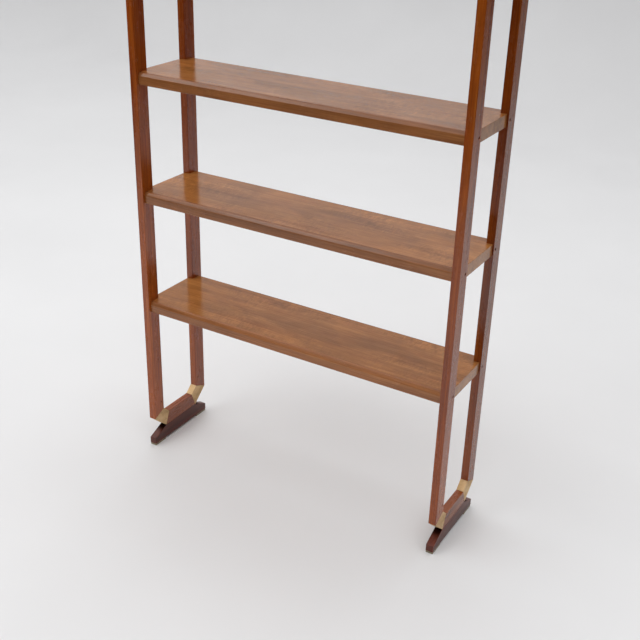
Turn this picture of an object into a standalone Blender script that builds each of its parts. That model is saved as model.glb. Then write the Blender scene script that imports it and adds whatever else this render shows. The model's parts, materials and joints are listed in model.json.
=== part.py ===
"""Ladder shelf: two mitred side frames with brass elbows carry four notched shelves.

Units are metres, +Z is up, and the front faces -Y. The origin is on the floor, at
the centre of the footprint. A side frame is a closed loop of one flat wooden stock:
front post, elbow, crossbar, elbow, rear post, elbow, crossbar, elbow. Each shelf is
notched around the posts and screwed through them, and each side frame stands on a
dark foot beam with a pad under each end.
"""
import math

import bmesh
import bpy
from mathutils import Matrix, Vector

# Driving dimensions
FRAME_WIDTH = 0.940          # over the outer faces of the two side frames
FRAME_DEPTH = 0.242          # over the front and rear faces of the posts
STOCK_WIDTH = 0.021          # stock of posts, elbows and crossbars, across the frame
STOCK_DEPTH = 0.042          # the same stock, in the plane of the frame
JOINT_GAP = 0.0003           # left between pieces that touch
ARRIS = 0.0010               # rounding of the stock's long edges

SHELF_TOPS = (0.477, 0.8015, 1.1195, 1.4410)
SHELF_THICKNESS = 0.031
SHELF_INSET = 0.0070         # shelf edge behind the posts' outer faces, front and rear
TONGUE_INSET = 0.0045        # shelf end inside the frames' outer faces
LIP_DEPTH = 0.0110           # solid lipping along the front and rear edges
LIP_BEVEL_RUN = 0.0055       # sloped top arris of the lipping
LIP_BEVEL_DROP = 0.0088
LIP_SOFTENING = 0.0012

PAD_HEIGHT = 0.006
PAD_LENGTH = 0.046
PAD_SIDE_INSET = 0.0005
FOOT_HEIGHT = 0.041
FOOT_END_HEIGHT = 0.0185     # upright end face of the foot beam, below its taper
FOOT_OVERHANG = 0.002        # foot end beyond the posts' outer faces

ELBOW_RUN = 0.0495           # outer corner of the elbow, in from the post's outer face
ELBOW_SLOPE = math.radians(42.0)
TENON_THICKNESS = 0.006
POST_TENON_INSETS = (0.013, 0.037)   # edges, in from the post's outer face
POST_TENON_REACH = (0.045, 0.100)    # root and tip, from the frame's end
RAIL_TENON_INSETS = (0.010, 0.030)   # edges, from the frame's end
RAIL_TENON_REACH = (0.050, 0.096)    # root and tip, from the post's outer face

PIN_RADIUS = 0.0021
PIN_INSET = 0.0320           # from the post's outer face
PIN_HEIGHT = 0.0895          # from the frame's end
PIN_RECESS = 0.0005
SCREW_INSET = 0.0315
SHANK_RADIUS = 0.0020
HEAD_RADIUS = 0.0034
HEAD_HEIGHT = 0.0022
HEAD_SINK = 0.0016           # head below the wood's surface
SHELF_SCREW_LENGTH = 0.045
FOOT_SCREW_LENGTH = 0.062
FOOT_HEAD_SINK = 0.0100
SLOT_WIDTH = 0.0009
SLOT_DEPTH = 0.0009

# Derived levels and mitre angles
FOOT_LOW = PAD_HEIGHT + JOINT_GAP
FRAME_LOW = FOOT_LOW + FOOT_HEIGHT + JOINT_GAP
FRAME_TOP = SHELF_TOPS[-1] + SHELF_TOPS[0] - SHELF_THICKNESS - FRAME_LOW
POST_MITRE = (math.pi / 2 - ELBOW_SLOPE) / 2     # from the horizontal
RAIL_MITRE = ELBOW_SLOPE / 2                     # from the vertical
ELBOW_DROP = ELBOW_RUN * math.tan(ELBOW_SLOPE)
POST_MITRE_RISE = STOCK_DEPTH * math.tan(POST_MITRE)
RAIL_MITRE_RUN = STOCK_DEPTH * math.tan(RAIL_MITRE)
POST_GAP = JOINT_GAP / 2 / math.cos(POST_MITRE)
RAIL_GAP = JOINT_GAP / 2 / math.cos(RAIL_MITRE)
FRAME_X = (FRAME_WIDTH - STOCK_WIDTH) / 2
POST_Y = (FRAME_DEPTH - STOCK_DEPTH) / 2

SIDES = (("left", -1), ("right", 1))
FACES = (("front", -1), ("rear", 1))
ENDS = (("lower", -1), ("upper", 1))
ROUND_SEGMENTS = 24


# ---------------------------------------------------------------- scene helpers
def clear_scene():
    for obj in list(bpy.data.objects):
        bpy.data.objects.remove(obj, do_unlink=True)


def linear(value):
    """One sRGB channel, 0 to 255, as a linear value."""
    value /= 255
    return value / 12.92 if value <= 0.04045 else ((value + 0.055) / 1.055) ** 2.4


def material(name, colour, roughness, metallic=0.0):
    mat = bpy.data.materials.new(name)
    mat.use_nodes = True
    shader = mat.node_tree.nodes["Principled BSDF"]
    shader.inputs["Base Color"].default_value = (*(linear(c) for c in colour), 1)
    shader.inputs["Roughness"].default_value = roughness
    shader.inputs["Metallic"].default_value = metallic
    mat.diffuse_color = shader.inputs["Base Color"].default_value
    return mat


def add_object(name, bm, mat=None):
    """Turn a bmesh into an object at the origin, with its faces pointing out."""
    bmesh.ops.recalc_face_normals(bm, faces=bm.faces)
    mesh = bpy.data.meshes.new(name)
    bm.to_mesh(mesh)
    bm.free()
    if mat:
        mesh.materials.append(mat)
    obj = bpy.data.objects.new(name, mesh)
    bpy.context.scene.collection.objects.link(obj)
    return obj


def place(obj, location, parent):
    obj.location = location
    obj.parent = parent
    return obj


def shade_smooth(obj, angle=math.radians(35)):
    obj.data.shade_smooth()
    obj.data.set_sharp_from_angle(angle=angle)


def combine(obj, tools, operation):
    """Cut or join tool objects into an object, then remove the tools.

    All of them are shaped around the object's own origin, before it is placed.
    """
    joined = bmesh.new()
    for tool in tools:
        joined.from_mesh(tool.data)
        bpy.data.objects.remove(tool, do_unlink=True)
    tool = add_object("cutter", joined)
    modifier = obj.modifiers.new("shape", "BOOLEAN")
    modifier.operation = operation
    modifier.solver = "EXACT"
    modifier.use_self = True
    modifier.object = tool
    bpy.context.view_layer.update()
    evaluated = obj.evaluated_get(bpy.context.evaluated_depsgraph_get())
    result = bpy.data.meshes.new_from_object(evaluated)
    result.name = obj.name
    obj.modifiers.clear()
    obj.data = result
    bpy.data.objects.remove(tool, do_unlink=True)


# ---------------------------------------------------------------- shape helpers
def prism(outline, low, high, axis):
    """Extrude a closed outline from low to high along axis X or Z.

    The outline's points are (y, z) for axis X and (x, y) for axis Z.
    """
    bm = bmesh.new()
    if axis == "X":
        corners = [Vector((low, a, b)) for a, b in outline]
        travel = Vector((high - low, 0, 0))
    else:
        corners = [Vector((a, b, low)) for a, b in outline]
        travel = Vector((0, 0, high - low))
    base = bm.faces.new([bm.verts.new(corner) for corner in corners])
    extruded = bmesh.ops.extrude_face_region(bm, geom=[base])
    moved = [item for item in extruded["geom"] if isinstance(item, bmesh.types.BMVert)]
    bmesh.ops.translate(bm, verts=moved, vec=travel)
    return bm


def round_edges(bm, chosen, radius, segments=3):
    """Round the edges for which chosen(direction, middle) holds."""
    edges = []
    for edge in bm.edges:
        first, second = (vert.co for vert in edge.verts)
        if chosen((second - first).normalized(), (first + second) / 2):
            edges.append(edge)
    bmesh.ops.bevel(bm, geom=edges, offset=radius, offset_type="OFFSET",
                    segments=segments, profile=0.5, affect="EDGES")


def box(low, high):
    outline = [(low[0], low[1]), (high[0], low[1]), (high[0], high[1]), (low[0], high[1])]
    return prism(outline, low[2], high[2], "Z")


def aim(bm, start, direction):
    """Turn a shape's +Z to a direction and move its origin to a start point."""
    turn = Vector(direction).to_track_quat("Z", "Y").to_matrix().to_4x4()
    bmesh.ops.transform(bm, matrix=Matrix.Translation(Vector(start)) @ turn, verts=bm.verts)
    return bm


def cylinder(radius, start, direction, length):
    """A closed cylinder from a start point along a direction."""
    return aim(turned([(0, 0), (radius, 0), (radius, length), (0, length)]),
               start, direction)


def turned(profile, segments=ROUND_SEGMENTS):
    """Turn (radius, height) points about Z; both ends lie on the axis."""
    bm = bmesh.new()
    rings = []
    for radius, height in profile:
        if radius == 0:
            rings.append([bm.verts.new((0, 0, height))])
            continue
        angles = [2 * math.pi * (step + 0.37) / segments for step in range(segments)]
        rings.append([bm.verts.new((radius * math.cos(a), radius * math.sin(a), height))
                      for a in angles])
    for lower, upper in zip(rings, rings[1:]):
        for step in range(segments):
            corners = [lower[step % len(lower)], lower[(step + 1) % len(lower)],
                       upper[(step + 1) % len(upper)], upper[step % len(upper)]]
            bm.faces.new(list(dict.fromkeys(corners)))
    return bm


# ---------------------------------------------------------------- side frames
def frame_point(inwards, along, face, end):
    """(y, z) of a frame corner: in from the post's outer face and from the frame's end."""
    y = face * (FRAME_DEPTH / 2 - inwards)
    z = FRAME_LOW + along if end < 0 else FRAME_TOP - along
    return y, z


def local(outline, origin):
    return [(y - origin[1], z - origin[2]) for y, z in outline]


def stock(outline, long_edge):
    """A length of the frame's flat stock, with its long edges softened."""
    bm = prism(outline, -STOCK_WIDTH / 2, STOCK_WIDTH / 2, "X")
    round_edges(bm, lambda direction, middle: long_edge(direction), ARRIS)
    return bm


def post_tenon(face, end, spread):
    """Opposite (y, z) corners of the post tenon, grown by spread."""
    low, high = POST_TENON_INSETS
    root, tip = POST_TENON_REACH
    return (frame_point(low - spread, root - spread, face, end),
            frame_point(high + spread, tip + spread, face, end))


def rail_tenon(face, end, spread):
    """Opposite (y, z) corners of the crossbar tenon, grown by spread."""
    low, high = RAIL_TENON_INSETS
    root, tip = RAIL_TENON_REACH
    return (frame_point(root - spread, low - spread, face, end),
            frame_point(tip + spread, high + spread, face, end))


def slab(corners, thickness, origin):
    """A block centred across the frame, between two opposite (y, z) corners."""
    ys = sorted(y - origin[1] for y, z in corners)
    zs = sorted(z - origin[2] for y, z in corners)
    return box((-thickness / 2, ys[0], zs[0]), (thickness / 2, ys[1], zs[1]))


def screw_cutter(surface, inwards, sink, depth):
    """Clearance hole and counterbore, from a point on the surface along a direction."""
    shank = SHANK_RADIUS + JOINT_GAP
    head = HEAD_RADIUS + JOINT_GAP
    seat = sink + HEAD_HEIGHT + JOINT_GAP
    bm = turned([(0, -0.001), (head, -0.001), (head, seat), (shank, seat), (shank, depth),
                 (0, depth)])
    return add_object("cutter", aim(bm, surface, inwards))


def post(name, side, face, mat, parent):
    """Upright: mitred at both ends, slotted for the tenons, drilled for screws and pins."""
    origin = (side * FRAME_X, face * POST_Y, (FRAME_LOW + FRAME_TOP) / 2)
    outer = ELBOW_DROP + POST_GAP
    inner = outer + POST_MITRE_RISE
    outline = [frame_point(0, outer, face, -1), frame_point(STOCK_DEPTH, inner, face, -1),
               frame_point(STOCK_DEPTH, inner, face, 1), frame_point(0, outer, face, 1)]
    bm = stock(local(outline, origin), lambda direction: abs(direction.z) > 0.99)
    obj = add_object(name, bm, mat)

    cutters = []
    pin_y = face * (FRAME_DEPTH / 2 - PIN_INSET) - origin[1]
    for _, end in ENDS:
        slot = slab(post_tenon(face, end, JOINT_GAP), TENON_THICKNESS + 2 * JOINT_GAP, origin)
        cutters.append(add_object("cutter", slot))
        pin_z = frame_point(0, PIN_HEIGHT, face, end)[1] - origin[2]
        start = (-STOCK_WIDTH, pin_y, pin_z)
        hole = cylinder(PIN_RADIUS + JOINT_GAP, start, (1, 0, 0), 2 * STOCK_WIDTH)
        cutters.append(add_object("cutter", hole))
    screw_y = face * (FRAME_DEPTH / 2 - SCREW_INSET) - origin[1]
    for top in SHELF_TOPS:
        screw_z = top - SHELF_THICKNESS / 2 - origin[2]
        surface = (side * STOCK_WIDTH / 2, screw_y, screw_z)
        cutters.append(screw_cutter(surface, (-side, 0, 0), HEAD_SINK, 2 * STOCK_WIDTH))
    combine(obj, cutters, "DIFFERENCE")
    return place(obj, origin, parent)


def elbow(name, side, face, end, mat, parent):
    """Brass wedge that turns the corner, with a tenon into the post and the crossbar."""
    outline = [frame_point(0, ELBOW_DROP - POST_GAP, face, end),
               frame_point(STOCK_DEPTH, ELBOW_DROP + POST_MITRE_RISE - POST_GAP, face, end),
               frame_point(ELBOW_RUN + RAIL_MITRE_RUN - RAIL_GAP, STOCK_DEPTH, face, end),
               frame_point(ELBOW_RUN - RAIL_GAP, 0, face, end)]
    middle_y = sum(y for y, z in outline) / 4
    middle_z = sum(z for y, z in outline) / 4
    origin = (side * FRAME_X, middle_y, middle_z)
    slope = math.sin(ELBOW_SLOPE)
    along_slope = (lambda direction: abs(direction.x) < 0.1
                   and abs(abs(direction.z) - slope) < 0.02
                   and direction.y * direction.z * face * end > 0)
    bm = stock(local(outline, origin), along_slope)
    obj = add_object(name, bm, mat)
    tenons = [add_object("tenon", slab(corners, TENON_THICKNESS, origin))
              for corners in (post_tenon(face, end, 0), rail_tenon(face, end, 0))]
    combine(obj, tenons, "UNION")
    start = (-STOCK_WIDTH, face * (FRAME_DEPTH / 2 - PIN_INSET) - origin[1],
             frame_point(0, PIN_HEIGHT, face, end)[1] - origin[2])
    hole = cylinder(PIN_RADIUS + JOINT_GAP, start, (1, 0, 0), 2 * STOCK_WIDTH)
    combine(obj, [add_object("cutter", hole)], "DIFFERENCE")
    return place(obj, origin, parent)


def pin(name, side, face, end, mat, parent):
    """Brass cross pin through the post and the elbow's tenon."""
    half = STOCK_WIDTH / 2 - PIN_RECESS
    chamfer = 0.0003
    bm = turned([(0, -half), (PIN_RADIUS - chamfer, -half), (PIN_RADIUS, -half + chamfer),
                 (PIN_RADIUS, half - chamfer), (PIN_RADIUS - chamfer, half), (0, half)])
    _, z = frame_point(0, PIN_HEIGHT, face, end)
    obj = add_object(name, bm, mat)
    obj.rotation_euler = (0, math.pi / 2, 0)
    shade_smooth(obj)
    return place(obj, (side * FRAME_X, face * (FRAME_DEPTH / 2 - PIN_INSET), z), parent)


def crossbar(name, side, end, mat, parent):
    """Short rail between two elbows, slotted for their tenons."""
    z_middle = frame_point(0, STOCK_DEPTH / 2, 1, end)[1]
    origin = (side * FRAME_X, 0, z_middle)
    low = ELBOW_RUN + RAIL_GAP
    high = ELBOW_RUN + RAIL_MITRE_RUN + RAIL_GAP
    outline = [frame_point(low, 0, -1, end), frame_point(low, 0, 1, end),
               frame_point(high, STOCK_DEPTH, 1, end), frame_point(high, STOCK_DEPTH, -1, end)]
    bm = stock(local(outline, origin), lambda direction: abs(direction.y) > 0.99)
    obj = add_object(name, bm, mat)
    cutters = []
    for _, face in FACES:
        slot = slab(rail_tenon(face, end, JOINT_GAP), TENON_THICKNESS + 2 * JOINT_GAP, origin)
        cutters.append(add_object("cutter", slot))
    if end < 0:
        reach = FOOT_SCREW_LENGTH + FOOT_LOW + FOOT_HEAD_SINK + JOINT_GAP
        start = (0, 0, -z_middle)
        hole = cylinder(SHANK_RADIUS + JOINT_GAP, start, (0, 0, 1), reach)
        cutters.append(add_object("cutter", hole))
    combine(obj, cutters, "DIFFERENCE")
    return place(obj, origin, parent)


# ---------------------------------------------------------------- feet
def foot_beam(name, side, mat, parent):
    """Dark beam under a side frame, tapered on top towards both ends."""
    origin = (side * FRAME_X, 0, FOOT_LOW)
    half = FRAME_DEPTH / 2 + FOOT_OVERHANG
    shoulder = FRAME_DEPTH / 2 - ELBOW_RUN
    outline = [(-half, 0), (half, 0), (half, FOOT_END_HEIGHT), (shoulder, FOOT_HEIGHT),
               (-shoulder, FOOT_HEIGHT), (-half, FOOT_END_HEIGHT)]
    bm = prism(outline, -STOCK_WIDTH / 2, STOCK_WIDTH / 2, "X")
    nose = half - 0.001
    round_edges(bm, lambda direction, middle: abs(direction.x) < 0.1
                or (abs(middle.y) > nose and middle.z > 0), ARRIS)
    obj = add_object(name, bm, mat)
    hole = screw_cutter((0, 0, 0), (0, 0, 1), FOOT_HEAD_SINK, 2 * FOOT_HEIGHT)
    combine(obj, [hole], "DIFFERENCE")
    return place(obj, origin, parent)


def pad(name, side, face, mat, parent):
    """Pad under one end of a foot beam; the object rests on the four pads."""
    half_width = STOCK_WIDTH / 2 - PAD_SIDE_INSET
    bm = box((-half_width, -PAD_LENGTH / 2, 0), (half_width, PAD_LENGTH / 2, PAD_HEIGHT))
    round_edges(bm, lambda direction, middle: abs(direction.z) > 0.99, 0.0008)
    y = face * (FRAME_DEPTH / 2 + FOOT_OVERHANG - PAD_SIDE_INSET - PAD_LENGTH / 2)
    return place(add_object(name, bm, mat), (side * FRAME_X, y, 0), parent)


# ---------------------------------------------------------------- shelves
def shelf_board(name, top, mat, parent):
    """Board notched around the four posts; its tongues run out between them."""
    origin = (0, 0, top - SHELF_THICKNESS / 2)
    body_x = FRAME_WIDTH / 2 - STOCK_WIDTH - JOINT_GAP
    body_y = FRAME_DEPTH / 2 - SHELF_INSET - LIP_DEPTH - JOINT_GAP
    tongue_x = FRAME_WIDTH / 2 - TONGUE_INSET
    tongue_y = FRAME_DEPTH / 2 - STOCK_DEPTH - JOINT_GAP
    quarter = [(body_x, body_y), (body_x, tongue_y), (tongue_x, tongue_y)]
    outline = [(x, y) for x, y in quarter]
    outline += [(x, -y) for x, y in reversed(quarter)]
    outline += [(-x, -y) for x, y in quarter]
    outline += [(-x, y) for x, y in reversed(quarter)]
    bm = prism(outline, -SHELF_THICKNESS / 2, SHELF_THICKNESS / 2, "Z")
    round_edges(bm, lambda direction, middle: abs(direction.y) > 0.99
                and abs(middle.x) > body_x + 0.001, 0.0006, 2)
    obj = add_object(name, bm, mat)
    cutters = []
    depth = SHELF_SCREW_LENGTH + HEAD_SINK - STOCK_WIDTH + 0.001
    for _, side in SIDES:
        for _, face in FACES:
            start = (side * (body_x + 0.001), face * (FRAME_DEPTH / 2 - SCREW_INSET), 0)
            hole = cylinder(SHANK_RADIUS + JOINT_GAP, start, (-side, 0, 0), depth + 0.001)
            cutters.append(add_object("cutter", hole))
    combine(obj, cutters, "DIFFERENCE")
    return place(obj, origin, parent)


def shelf_lip(name, top, face, mat, parent):
    """Solid lipping with a sloped top arris, between the posts' inner faces."""
    half = SHELF_THICKNESS / 2
    outline = [(0, -half), (LIP_DEPTH, -half), (LIP_DEPTH, half - LIP_BEVEL_DROP),
               (LIP_DEPTH - LIP_BEVEL_RUN, half), (0, half)]
    length = FRAME_WIDTH / 2 - STOCK_WIDTH - JOINT_GAP
    bm = prism([(face * y, z) for y, z in outline], -length, length, "X")
    round_edges(bm, lambda direction, middle: abs(direction.x) > 0.99
                and abs(middle.y) > 0.001, LIP_SOFTENING, 3)
    y = face * (FRAME_DEPTH / 2 - SHELF_INSET - LIP_DEPTH)
    obj = add_object(name, bm, mat)
    shade_smooth(obj, math.radians(25))
    return place(obj, (0, y, top - half), parent)


# ---------------------------------------------------------------- screws
def wood_screw(name, length, mat, location, rotation, parent):
    """Slotted flat-headed screw, its head at the origin and its shank along -Z."""
    cone = HEAD_RADIUS - SHANK_RADIUS
    bm = turned([(0, -length), (SHANK_RADIUS * 0.35, -length + 0.001),
                 (SHANK_RADIUS, -length + 0.007), (SHANK_RADIUS, -HEAD_HEIGHT - 0.0001),
                 (HEAD_RADIUS, -HEAD_HEIGHT - 0.0001 + cone), (HEAD_RADIUS, -0.0002),
                 (HEAD_RADIUS - 0.0002, 0), (0, 0)])
    obj = add_object(name, bm, mat)
    slot = box((-HEAD_RADIUS * 2, -SLOT_WIDTH / 2, -SLOT_DEPTH),
               (HEAD_RADIUS * 2, SLOT_WIDTH / 2, SLOT_DEPTH))
    combine(obj, [add_object("cutter", slot)], "DIFFERENCE")
    obj.rotation_euler = rotation
    shade_smooth(obj)
    return place(obj, location, parent)


def shelf_screw(name, side, face, top, mat, parent):
    location = (side * (FRAME_WIDTH / 2 - HEAD_SINK),
                face * (FRAME_DEPTH / 2 - SCREW_INSET), top - SHELF_THICKNESS / 2)
    wood_screw(name, SHELF_SCREW_LENGTH, mat, location, (0, side * math.pi / 2, 0), parent)


def foot_screw(name, side, mat, parent):
    location = (side * FRAME_X, 0, FOOT_LOW + FOOT_HEAD_SINK)
    wood_screw(name, FOOT_SCREW_LENGTH, mat, location, (math.pi, 0, 0), parent)


# ---------------------------------------------------------------- assembly
def build_side_frame(label, side, mats, root):
    for face_label, face in FACES:
        post(f"{label}_{face_label}_post", side, face, mats["post"], root)
        pad(f"{label}_{face_label}_pad", side, face, mats["pad"], root)
        for end_label, end in ENDS:
            stem = f"{label}_{face_label}_{end_label}"
            elbow(f"{stem}_elbow", side, face, end, mats["brass"], root)
            pin(f"{stem}_pin", side, face, end, mats["brass"], root)
    for end_label, end in ENDS:
        crossbar(f"{label}_{end_label}_crossbar", side, end, mats["post"], root)
    foot_beam(f"{label}_foot_beam", side, mats["foot"], root)
    foot_screw(f"{label}_foot_screw", side, mats["steel"], root)


def build_shelf(number, top, mats, root):
    shelf_board(f"shelf_{number}_board", top, mats["shelf"], root)
    for face_label, face in FACES:
        shelf_lip(f"shelf_{number}_{face_label}_lip", top, face, mats["lip"], root)
    for label, side in SIDES:
        for face_label, face in FACES:
            shelf_screw(f"shelf_{number}_{label}_{face_label}_screw", side, face, top,
                        mats["steel"], root)


def main():
    clear_scene()
    mats = {
        "post": material("post_wood", (118, 60, 38), 0.38),
        "shelf": material("shelf_wood", (150, 102, 70), 0.34),
        "lip": material("lip_wood", (134, 86, 56), 0.36),
        "foot": material("foot_wood", (62, 32, 26), 0.36),
        "brass": material("brass", (178, 152, 108), 0.42, 1.0),
        "steel": material("screw_steel", (92, 86, 78), 0.45, 1.0),
        "pad": material("pad_felt", (84, 76, 62), 0.95),
    }
    root = bpy.data.objects.new("ladder_shelf", None)
    bpy.context.scene.collection.objects.link(root)
    for label, side in SIDES:
        build_side_frame(label, side, mats, root)
    for number, top in enumerate(SHELF_TOPS, 1):
        build_shelf(number, top, mats, root)


main()
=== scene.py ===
"""Ladder shelf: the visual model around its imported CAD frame, in metres, front towards -Y.

Each CAD solid is copied, its arrises are softened, and grain coordinates are written on it for
the procedural materials. The studio floor, the lights and the camera follow.
"""

import json
import math
import random

import bmesh
import bpy
from mathutils import Matrix, Vector


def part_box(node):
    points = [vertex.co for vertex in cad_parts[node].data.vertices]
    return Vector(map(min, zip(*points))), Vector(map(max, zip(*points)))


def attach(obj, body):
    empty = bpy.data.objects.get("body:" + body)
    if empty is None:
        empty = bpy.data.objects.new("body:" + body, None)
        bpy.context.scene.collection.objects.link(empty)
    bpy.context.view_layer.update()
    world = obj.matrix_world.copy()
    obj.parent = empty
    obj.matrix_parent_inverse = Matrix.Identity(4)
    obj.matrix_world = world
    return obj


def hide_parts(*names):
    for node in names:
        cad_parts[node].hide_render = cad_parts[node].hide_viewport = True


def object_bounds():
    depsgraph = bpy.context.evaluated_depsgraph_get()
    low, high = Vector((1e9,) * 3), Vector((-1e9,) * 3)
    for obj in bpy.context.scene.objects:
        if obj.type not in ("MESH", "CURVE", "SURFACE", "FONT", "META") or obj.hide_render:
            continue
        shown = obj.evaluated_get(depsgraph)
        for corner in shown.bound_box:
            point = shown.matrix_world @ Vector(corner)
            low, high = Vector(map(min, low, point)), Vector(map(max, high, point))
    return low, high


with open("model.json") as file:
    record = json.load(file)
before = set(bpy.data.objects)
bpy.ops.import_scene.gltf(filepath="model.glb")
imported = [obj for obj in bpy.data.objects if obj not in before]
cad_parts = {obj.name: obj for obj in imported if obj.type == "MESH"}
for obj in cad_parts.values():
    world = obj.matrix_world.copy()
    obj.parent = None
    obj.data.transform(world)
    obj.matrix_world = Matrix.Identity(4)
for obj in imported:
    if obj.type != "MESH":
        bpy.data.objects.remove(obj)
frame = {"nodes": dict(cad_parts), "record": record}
cad_low, cad_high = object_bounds()
SLOTS = {row["node"]: row["material_slot"] for row in frame["record"]["subparts"]}

# mesh attributes that the materials read
GRAIN = "grain"          # metres along, across and through the grain, shifted per piece
WORN_AND_HIGHLIT = "worn"            # 1 on the softened arrises, which are lightened for wear and as a painted highlight
PIECE = "piece"          # how light each piece is, near 1
SLOPE = "slope"          # 1 on the end slopes of the foot beams

# shaping
WELD = 0.00001                     # corners nearer than this are one corner
FLAT = math.radians(0.5)           # facets that turn less than this are one face
ARRIS = math.radians(28)           # edges that turn more than this are softened
CREASE = math.radians(40)          # shading breaks at edges that turn more than this
ARRIS_WIDTH = {"post_wood": 0.0006, "foot_wood": 0.0008, "brass": 0.0004, "shelf_wood": 0.0006,
               "lip_wood": 0.0003, "pad_felt": 0.0006, "screw_steel": 0.0001}
ELBOW_RUN, ELBOW_DROP = 0.74, 0.67       # direction of the elbows' slope
SLOPE_UP, SLOPE_OUT = 0.2, 0.3           # a foot's end slope faces up and out more than this
GRAIN_SHIFT = 40                         # metres, so that no two pieces share their grain
PIECE_SPREAD = 0.06                      # how much lighter or darker a piece may be

# how light some pieces are against the others of their kind
TONE = {"left_lower_crossbar": 0.68, "left_upper_crossbar": 0.68,
        "right_lower_crossbar": 0.6, "right_upper_crossbar": 0.6, "right_rear_post": 0.78,
        "shelf_1_board": 0.97, "shelf_2_board": 1.05,
        "shelf_1_front_lip": 1.05, "shelf_2_front_lip": 1.06}

# wood
BAND_SWAY = 0.024                        # metres that the growth bands wander sideways
STRAND_SHARE = 0.36                      # share of the fine strands in a wood's tone
RIPPLE_TURN = math.radians(34)           # of the cross figure against the grain
PORE_DEPTH = 0.25                        # how much the pores darken the wood
CREVICE_START, CREVICE_FULL = 0.014, 0.004     # depths below the top of a foot beam where the painted shade under the elbows begins and is full
# how dark the painted shade under the elbows gets
CREVICE_SHADE_DARKNESS = 0.9

# stage, a floor that curves up into a backdrop
STAGE_LEFT, STAGE_RIGHT = -7.5, 2.1
STAGE_FRONT, STAGE_BACK = -2.4, 5.2
STAGE_HEIGHT = 4.5
STAGE_CURVE = 1.6                        # radius
STAGE_CURVE_STEPS = 24

# name, place, point it faces, size and watts of each softbox
LIGHTS = (
    ("light_wall", (-3.6, 4.0, 3.0), (-3.6, 5.2, 2.95), (5.0, 0.5), 18.5),    # shelves' sheen
    ("light_top", (-0.9, 0.2, 4.2), (-0.9, 0.2, 0.0), (3.6, 3.6), 33),        # floor and tops
    ("light_front", (-1.9, -2.3, 2.9), (0.0, -0.2, 0.4), (1.7, 1.0), 14),     # faces and lips
)
# sines of the elevations between which each strength fades, and the strengths there
OVERHEAD = (0.38, 0.78, 0.0, 1.38)       # light of the dome
ROOM = (-0.2, 0.1, 0.68, 0.31)           # room that only the camera sees

CAMERA_PLACE = Vector((1.2416, -2.0587, 1.7072))
CAMERA_AIM = Vector((-0.45116, 0.77156, -0.44850))      # the direction it looks in
CAMERA_ROLL = math.radians(1.715)
CAMERA_LENS, CAMERA_SENSOR = 56.34, 36   # millimetres


# ---------------------------------------------------------------- node helpers
class Graph:
    """Short calls to add and link shader nodes."""

    def __init__(self, name):
        self.material = bpy.data.materials.new(name)
        self.material.use_nodes = True
        self.nodes = self.material.node_tree.nodes
        self.links = self.material.node_tree.links
        self.shader = self.nodes["Principled BSDF"]

    def add(self, kind, inputs=None, **settings):
        node = self.nodes.new(kind)
        for key, value in settings.items():
            setattr(node, key, value)
        for key, value in (inputs or {}).items():
            self.set(node.inputs[key], value)
        return node

    def set(self, socket, value):
        if isinstance(value, bpy.types.NodeSocket):
            self.links.new(value, socket)
        elif isinstance(value, (tuple, list)) and len(value) == 3 and len(socket.default_value) == 4:
            socket.default_value = (*value, 1)
        else:
            socket.default_value = value

    def finish(self, **inputs):
        """Set the shader's inputs, named with underscores, and give the material."""
        for key, value in inputs.items():
            self.set(self.shader.inputs[key.replace("_", " ")], value)
        return self.material

    def math(self, operation, first, second):
        return self.add("ShaderNodeMath", {0: first, 1: second}, operation=operation).outputs[0]

    def plus(self, first, second):
        return self.math("ADD", first, second)

    def minus(self, first, second):
        return self.math("SUBTRACT", first, second)

    def times(self, first, second):
        return self.math("MULTIPLY", first, second)

    def stretch(self, vector, scale, turn=0.0):
        node = self.add("ShaderNodeMapping", {"Vector": vector, "Scale": scale,
                                              "Rotation": (0, 0, turn)})
        return node.outputs[0]

    def noise(self, vector, scale=1.0, detail=4.0, roughness=0.55, distortion=0.0):
        node = self.add("ShaderNodeTexNoise",
                        {"Vector": vector, "Scale": scale, "Detail": detail,
                         "Roughness": roughness, "Distortion": distortion})
        return node.outputs[0]

    def remap(self, value, low, high, new_low=0.0, new_high=1.0, smooth=True):
        node = self.add("ShaderNodeMapRange",
                        {"Value": value, "From Min": low, "From Max": high,
                         "To Min": new_low, "To Max": new_high},
                        interpolation_type="SMOOTHSTEP" if smooth else "LINEAR")
        return node.outputs[0]

    def ramp(self, value, stops):
        node = self.add("ShaderNodeValToRGB", {"Fac": value})
        elements = node.color_ramp.elements
        while len(elements) < len(stops):
            elements.new(0.5)
        for element, (position, colour) in zip(elements, stops):
            element.position = position
            element.color = (*colour, 1)
        return node.outputs[0]

    def mix(self, factor, first, second, blend="MIX"):
        node = self.add("ShaderNodeMix", data_type="RGBA", blend_type=blend)
        self.set(node.inputs[0], factor)
        self.set(node.inputs[6], first)
        self.set(node.inputs[7], second)
        return node.outputs[2]

    def tint(self, colour, factor):
        return self.mix(1.0, colour, factor, "MULTIPLY")

    def attribute(self, name, output="Fac"):
        return self.add("ShaderNodeAttribute", attribute_name=name).outputs[output]

    def bump(self, height, strength, distance, normal=None):
        inputs = {"Height": height, "Strength": strength, "Distance": distance}
        if normal is not None:
            inputs["Normal"] = normal
        return self.add("ShaderNodeBump", inputs).outputs[0]


def srgb(*channels):
    return tuple(c / 255 / 12.92 if c <= 10 else ((c / 255 + 0.055) / 1.055) ** 2.4
                 for c in channels)


# ---------------------------------------------------------------- materials
def wandering(g, grain):
    """Grain coordinates whose growth bands wander sideways."""
    sway = g.noise(g.stretch(grain, (1.6, 9, 9)), 1, 2, 0.5)
    shift = g.add("ShaderNodeCombineXYZ", {1: g.times(g.minus(sway, 0.5), BAND_SWAY)})
    return g.add("ShaderNodeVectorMath", {0: grain, 1: shift.outputs[0]},
                 operation="ADD").outputs[0]


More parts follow.
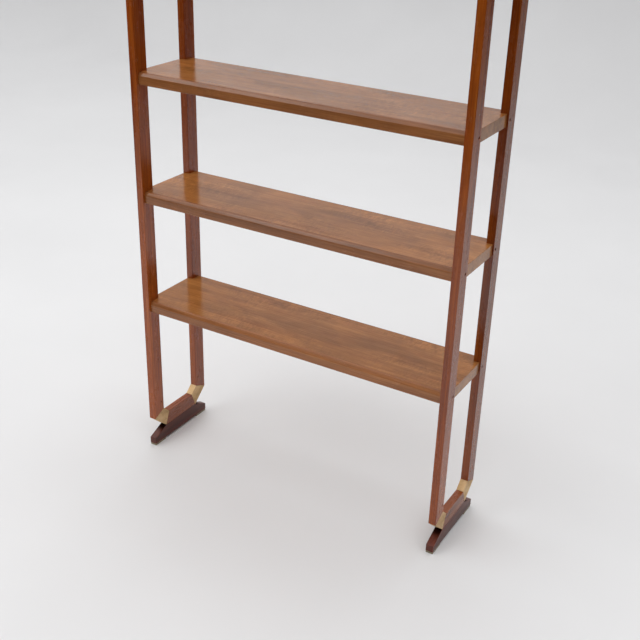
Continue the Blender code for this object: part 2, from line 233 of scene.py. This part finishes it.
def wood_tone(g, grain, bent, strands, banding):
    """From 0 in the darkest wood to 1 in the lightest: growth bands, strands and clouds."""
    bands = g.noise(g.stretch(bent, (0.9, 55, 55)), 1, 5, 0.6)
    clouds = g.noise(g.stretch(grain, (7, 24, 24)), 1, 4, 0.62, 0.4)
    tone = g.plus(g.times(bands, banding), g.times(strands, STRAND_SHARE))
    tone = g.plus(tone, g.times(clouds, 1 - STRAND_SHARE - banding))
    return g.remap(tone, 0.32, 0.68, smooth=False)


def cross_figure(g, grain, figure):
    """Patches of ripples across the grain, as a factor near 1."""
    ripple = g.noise(g.stretch(grain, (84, 34, 34), RIPPLE_TURN), 1, 3, 0.6, 1.4)
    area = g.remap(g.noise(g.stretch(grain, (3.2, 9, 9)), 1, 2, 0.5), 0.40, 0.62)
    return g.plus(g.times(g.minus(ripple, 0.5), g.times(area, figure)), 1.0)


def crevice_shade_depth(g):
    """Painted shade: 1 on a foot's end slope where an elbow overhangs it closely, and 0 elsewhere.
    """
    place = g.add("ShaderNodeSeparateXYZ", {0: g.add("ShaderNodeTexCoord").outputs["Object"]})
    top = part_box("left_foot_beam")[1].z
    shade_depth = g.remap(place.outputs["Z"], top - CREVICE_START, top - CREVICE_FULL)
    return g.times(shade_depth, g.attribute(SLOPE))


def wood(name, stops, figure, roughness, banding=0.62, mottle=0.10, gloss=0.5, wear_and_highlight=0.35,
         crevice_shade=False):
    """Lacquered wood: growth bands, fibres, pores, cross figure, and arrises lightened for wear and
    as a painted highlight.

    When asked, shade is painted on the end slopes: they darken and lose their gloss towards the
    elbows that overhang them.
    """
    g = Graph(name)
    grain = g.attribute(GRAIN, "Vector")
    bent = wandering(g, grain)
    strands = g.noise(g.stretch(bent, (5, 330, 330)), 1, 4, 0.6)
    fibres = g.noise(g.stretch(bent, (22, 1500, 1500)), 1, 2, 0.6)
    pores = g.remap(g.noise(g.stretch(bent, (60, 1900, 1900)), 1, 1, 0.5), 0.64, 0.72)

    colour = g.ramp(wood_tone(g, grain, bent, strands, banding), stops)
    patches = g.noise(g.stretch(grain, (5, 13, 13)), 1, 4, 0.6, 0.5)
    colour = g.tint(colour, g.remap(patches, 0.3, 0.7, 1 - mottle, 1 + mottle))
    colour = g.tint(colour, cross_figure(g, grain, figure))
    colour = g.tint(colour, g.remap(fibres, 0.35, 0.65, 0.90, 1.06, smooth=False))
    pore_colour = tuple(c * 0.35 for c in stops[0][1])
    colour = g.mix(g.times(pores, PORE_DEPTH), colour, pore_colour)
    colour = g.tint(colour, g.attribute(PIECE))

    # lighter arrises: wear, and a painted highlight along the edges, strongest on the foot beams
    rub_and_glint = g.remap(g.noise(g.stretch(grain, (14, 60, 60)), 1, 3, 0.6), 0.45, 0.62)
    worn_and_highlit_colour = tuple(min(1, c * 1.5) for c in stops[-1][1])
    colour = g.mix(g.times(g.times(g.attribute(WORN_AND_HIGHLIT), rub_and_glint), wear_and_highlight), colour, worn_and_highlit_colour)
    # painted shade under the elbows: darker colour and less gloss
    if crevice_shade:
        shade_depth = crevice_shade_depth(g)
        colour = g.mix(g.times(shade_depth, CREVICE_SHADE_DARKNESS), colour, srgb(12, 6, 4))
        gloss = g.times(g.minus(1.0, shade_depth), gloss)

    smudge = g.noise(g.stretch(grain, (9, 16, 16)), 1, 4, 0.6)
    rough = g.plus(g.remap(smudge, 0.3, 0.7, -0.05, 0.06), roughness)
    rough = g.plus(rough, g.times(g.minus(fibres, 0.5), 0.12))
    surface = g.bump(g.minus(g.times(fibres, 0.6), g.times(pores, 0.8)), 0.25, 0.0001)
    surface = g.bump(strands, 0.10, 0.0003, surface)
    return g.finish(Base_Color=colour, Roughness=rough, Specular_IOR_Level=gloss, Normal=surface)


def post_wood():
    stops = [(0.0, srgb(96, 34, 6)), (0.38, srgb(150, 68, 16)),
             (0.7, srgb(174, 86, 22)), (1.0, srgb(204, 118, 46))]
    return wood("post_wood_lacquered", stops, figure=0.14, roughness=0.26, banding=0.5, gloss=0.6)


def shelf_wood():
    stops = [(0.0, srgb(138, 80, 38)), (0.35, srgb(166, 107, 56)),
             (0.7, srgb(183, 122, 66)), (1.0, srgb(201, 140, 81))]
    return wood("shelf_wood_lacquered", stops, figure=1.2, roughness=0.17, banding=0.26,
                mottle=0.2)


def lip_wood():
    stops = [(0.0, srgb(104, 60, 28)), (0.45, srgb(152, 94, 52)),
             (0.75, srgb(168, 108, 62)), (1.0, srgb(190, 130, 80))]
    return wood("lip_wood_lacquered", stops, figure=0.35, roughness=0.22, banding=0.5)


def foot_wood():
    stops = [(0.0, srgb(60, 20, 10)), (0.45, srgb(92, 36, 20)),
             (0.75, srgb(108, 46, 28)), (1.0, srgb(142, 70, 44))]
    # the strong arris lightening here is mostly a painted highlight along the edges
    return wood("foot_wood_dark", stops, figure=0.12, roughness=0.36, gloss=0.42, wear_and_highlight=0.8,
                crevice_shade=True)


def brass(name, shade, gloss):
    """Matt brushed brass; a low shade makes it the dark brass of the pins."""
    g = Graph(name)
    grain = g.attribute(GRAIN, "Vector")
    brushed = g.noise(g.stretch(grain, (12, 1400, 1400)), 1, 3, 0.6)
    cloud = g.noise(g.stretch(grain, (30, 38, 38)), 1, 4, 0.6)
    specks = g.remap(g.noise(g.stretch(grain, (420, 520, 520)), 1, 2, 0.5), 0.66, 0.74)
    colour = g.ramp(g.remap(cloud, 0.3, 0.7, smooth=False),
                    [(0.0, srgb(178, 146, 104)), (0.5, srgb(214, 180, 134)),
                     (1.0, srgb(230, 200, 156))])
    colour = g.tint(colour, g.remap(brushed, 0.3, 0.7, 0.88, 1.08, smooth=False))
    colour = g.mix(g.times(specks, 0.35), colour, srgb(84, 66, 40))
    colour = g.tint(colour, (shade, shade, shade))
    rough = g.plus(g.remap(cloud, 0.3, 0.7, 0.62, 0.52), g.times(g.minus(brushed, 0.5), 0.2))
    return g.finish(Base_Color=colour, Metallic=0.75, Specular_IOR_Level=gloss, Roughness=rough,
                    Normal=g.bump(brushed, 0.2, 0.0001))


def steel():
    """Darkened, slightly uneven screw steel."""
    g = Graph("screw_steel_dark")
    grain = g.attribute(GRAIN, "Vector")
    cloud = g.noise(g.stretch(grain, (300, 300, 300)), 1, 3, 0.6)
    colour = g.ramp(cloud, [(0.3, srgb(48, 42, 36)), (0.7, srgb(104, 94, 82))])
    return g.finish(Base_Color=colour, Metallic=0.85, Roughness=g.remap(cloud, 0.3, 0.7, 0.6, 0.4),
                    Normal=g.bump(cloud, 0.3, 0.0001))


def felt():
    """Dense felt of short tangled fibres."""
    g = Graph("pad_felt_dense")
    grain = g.attribute(GRAIN, "Vector")
    fuzz = g.noise(grain, 900, 4, 0.7, 1.5)
    cloud = g.noise(grain, 120, 3, 0.6)
    colour = g.ramp(g.plus(g.times(fuzz, 0.6), g.times(cloud, 0.4)),
                    [(0.32, srgb(84, 76, 58)), (0.5, srgb(134, 122, 96)),
                     (0.68, srgb(176, 162, 132))])
    return g.finish(Base_Color=colour, Roughness=0.95, Sheen_Weight=0.35, Sheen_Roughness=0.5,
                    Normal=g.bump(fuzz, 0.6, 0.0005))


MATERIALS = {
    "post_wood": post_wood(),
    "shelf_wood": shelf_wood(),
    "lip_wood": lip_wood(),
    "foot_wood": foot_wood(),
    "brass": brass("brass_brushed", shade=1.0, gloss=0.5),
    "screw_steel": steel(),
    "pad_felt": felt(),
}
PIN_BRASS = brass("brass_pin_dark", shade=0.03, gloss=0.05)


# ---------------------------------------------------------------- pieces
def grain_axes(node):
    """Unit vectors along, across and through the grain of a node."""
    x, y, z = Vector((1, 0, 0)), Vector((0, 1, 0)), Vector((0, 0, 1))
    if node.startswith("shelf") and not node.endswith("screw"):
        return x, y, z
    if node.endswith(("crossbar", "foot_beam")):
        return y, x, z
    if node.endswith("elbow"):
        low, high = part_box(node)
        middle = (low + high) / 2
        inwards = -1 if middle.y > 0 else 1
        down = -1 if middle.z < (cad_low.z + cad_high.z) / 2 else 1
        slope = Vector((0, ELBOW_RUN * inwards, ELBOW_DROP * down)).normalized()
        return slope, x, slope.cross(x)
    return z, x, y


def softened(node):
    """A clean mesh of a CAD solid with softened arrises and, on a foot, marked end slopes."""
    slot = SLOTS[node]
    bm = bmesh.new()
    bm.from_mesh(frame["nodes"][node].data)
    bmesh.ops.remove_doubles(bm, verts=bm.verts, dist=WELD)
    bmesh.ops.dissolve_limit(bm, angle_limit=FLAT, verts=bm.verts, edges=bm.edges)
    worn = bm.faces.layers.float.new(WORN_AND_HIGHLIT)
    sharp = [e for e in bm.edges if len(e.link_faces) == 2 and e.calc_face_angle(0) > ARRIS]
    made = bmesh.ops.bevel(bm, geom=sharp, offset=ARRIS_WIDTH[slot], offset_type="OFFSET",
                           segments=2, profile=0.5, affect="EDGES", clamp_overlap=True)
    for face in made["faces"]:
        face[worn] = 1.0
    slope = bm.faces.layers.float.new(SLOPE)
    for face in bm.faces:
        face.smooth = True
        face.normal_update()
        if slot == "foot_wood" and face.normal.z > SLOPE_UP and abs(face.normal.y) > SLOPE_OUT:
            face[slope] = 1.0
    mesh = bpy.data.meshes.new(node + "_shape")
    bm.to_mesh(mesh)
    bm.free()
    return mesh


def write_grain(mesh, node, seed):
    """Give a piece its own stretch of grain and its own tone."""
    chance = random.Random(seed)
    offset = Vector([chance.uniform(-GRAIN_SHIFT, GRAIN_SHIFT) for _ in range(3)])
    turn = Matrix(grain_axes(node))
    coordinates = mesh.attributes.new(GRAIN, "FLOAT_VECTOR", "POINT")
    for vertex in mesh.vertices:
        coordinates.data[vertex.index].vector = turn @ vertex.co + offset
    shade = mesh.attributes.new(PIECE, "FLOAT", "FACE")
    value = chance.uniform(1 - PIECE_SPREAD, 1 + PIECE_SPREAD) * TONE.get(node, 1)
    for item in shade.data:
        item.value = value


def add_piece(node, seed):
    """Put the visible piece in the place of its CAD solid."""
    slot = SLOTS[node]
    mesh = softened(node)
    write_grain(mesh, node, seed)
    obj = bpy.data.objects.new(node + "_look", mesh)
    bpy.context.scene.collection.objects.link(obj)
    mesh.materials.append(PIN_BRASS if node.endswith("_pin") else MATERIALS[slot])
    mesh.set_sharp_from_angle(angle=CREASE)
    weighted = obj.modifiers.new("normals", "WEIGHTED_NORMAL")
    weighted.keep_sharp = True
    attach(obj, "root")
    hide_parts(node)


# ---------------------------------------------------------------- floor, light, camera
def stage_profile():
    """Points (y, z) from the floor's front edge round the curve to the backdrop's top."""
    curve_start = STAGE_BACK - STAGE_CURVE
    profile = [(STAGE_FRONT, 0.0), (curve_start, 0.0)]
    for step in range(1, STAGE_CURVE_STEPS + 1):
        angle = math.pi / 2 * step / STAGE_CURVE_STEPS
        profile.append((curve_start + STAGE_CURVE * math.sin(angle),
                        STAGE_CURVE - STAGE_CURVE * math.cos(angle)))
    profile.append((STAGE_BACK, STAGE_HEIGHT))
    return profile


def stage_paint():
    """Pale, faintly uneven studio paint."""
    g = Graph("stage_paint")
    cloud = g.noise(g.add("ShaderNodeTexCoord").outputs["Object"], 1.3, 3, 0.5)
    colour = g.ramp(cloud, [(0.3, srgb(226, 226, 227)), (0.7, srgb(230, 230, 231))])
    return g.finish(Base_Color=colour, Roughness=0.6)


def sweep_stage():
    """Pale floor that curves up into a backdrop."""
    bm = bmesh.new()
    rows = [[bm.verts.new((x, y, z)) for x in (STAGE_LEFT, STAGE_RIGHT)]
            for y, z in stage_profile()]
    for low, high in zip(rows, rows[1:]):
        face = bm.faces.new((low[0], low[1], high[1], high[0]))
        face.smooth = True
    mesh = bpy.data.meshes.new("stage_sweep")
    bm.to_mesh(mesh)
    bm.free()
    mesh.materials.append(stage_paint())
    obj = bpy.data.objects.new("stage_sweep", mesh)
    bpy.context.scene.collection.objects.link(obj)


def area_light(name, location, target, size, power):
    data = bpy.data.lights.new(name, "AREA")
    data.shape = "RECTANGLE"
    data.size, data.size_y = size
    data.energy = power
    obj = bpy.data.objects.new(name, data)
    obj.location = location
    obj.rotation_mode = "QUATERNION"
    obj.rotation_quaternion = (Vector(target) - Vector(location)).to_track_quat("-Z", "Y")
    bpy.context.scene.collection.objects.link(obj)


def make_world():
    """Soft light from overhead only; the camera sees a pale room that darkens upwards."""
    world = bpy.data.worlds.new("studio")
    world.use_nodes = True
    nodes, links = world.node_tree.nodes, world.node_tree.links
    soft = nodes["Background"]
    room = nodes.new("ShaderNodeBackground")
    upwards = nodes.new("ShaderNodeSeparateXYZ")
    links.new(nodes.new("ShaderNodeTexCoord").outputs["Generated"], upwards.inputs[0])
    for shader, fade in ((soft, OVERHEAD), (room, ROOM)):
        shader.inputs["Color"].default_value = (1, 1, 1, 1)
        edge = nodes.new("ShaderNodeMapRange")
        edge.interpolation_type = "SMOOTHSTEP"
        links.new(upwards.outputs["Z"], edge.inputs["Value"])
        for key, value in zip(("From Min", "From Max", "To Min", "To Max"), fade):
            edge.inputs[key].default_value = value
        links.new(edge.outputs[0], shader.inputs["Strength"])
    mix = nodes.new("ShaderNodeMixShader")
    links.new(nodes.new("ShaderNodeLightPath").outputs["Is Camera Ray"], mix.inputs[0])
    links.new(soft.outputs[0], mix.inputs[1])
    links.new(room.outputs[0], mix.inputs[2])
    links.new(mix.outputs[0], nodes["World Output"].inputs["Surface"])
    bpy.context.scene.world = world


def make_camera():
    data = bpy.data.cameras.new("camera")
    data.lens = CAMERA_LENS
    data.sensor_width = CAMERA_SENSOR
    obj = bpy.data.objects.new("camera", data)
    obj.location = CAMERA_PLACE
    obj.rotation_mode = "QUATERNION"
    roll = Matrix.Rotation(CAMERA_ROLL, 3, "Z").to_quaternion()
    obj.rotation_quaternion = CAMERA_AIM.to_track_quat("-Z", "Y") @ roll
    bpy.context.scene.collection.objects.link(obj)
    bpy.context.scene.camera = obj


for index, node in enumerate(sorted(frame["nodes"])):
    add_piece(node, 1000 + index)
sweep_stage()
for light in LIGHTS:
    area_light(*light)
make_world()
make_camera()
bpy.context.scene.view_settings.view_transform = "Standard"
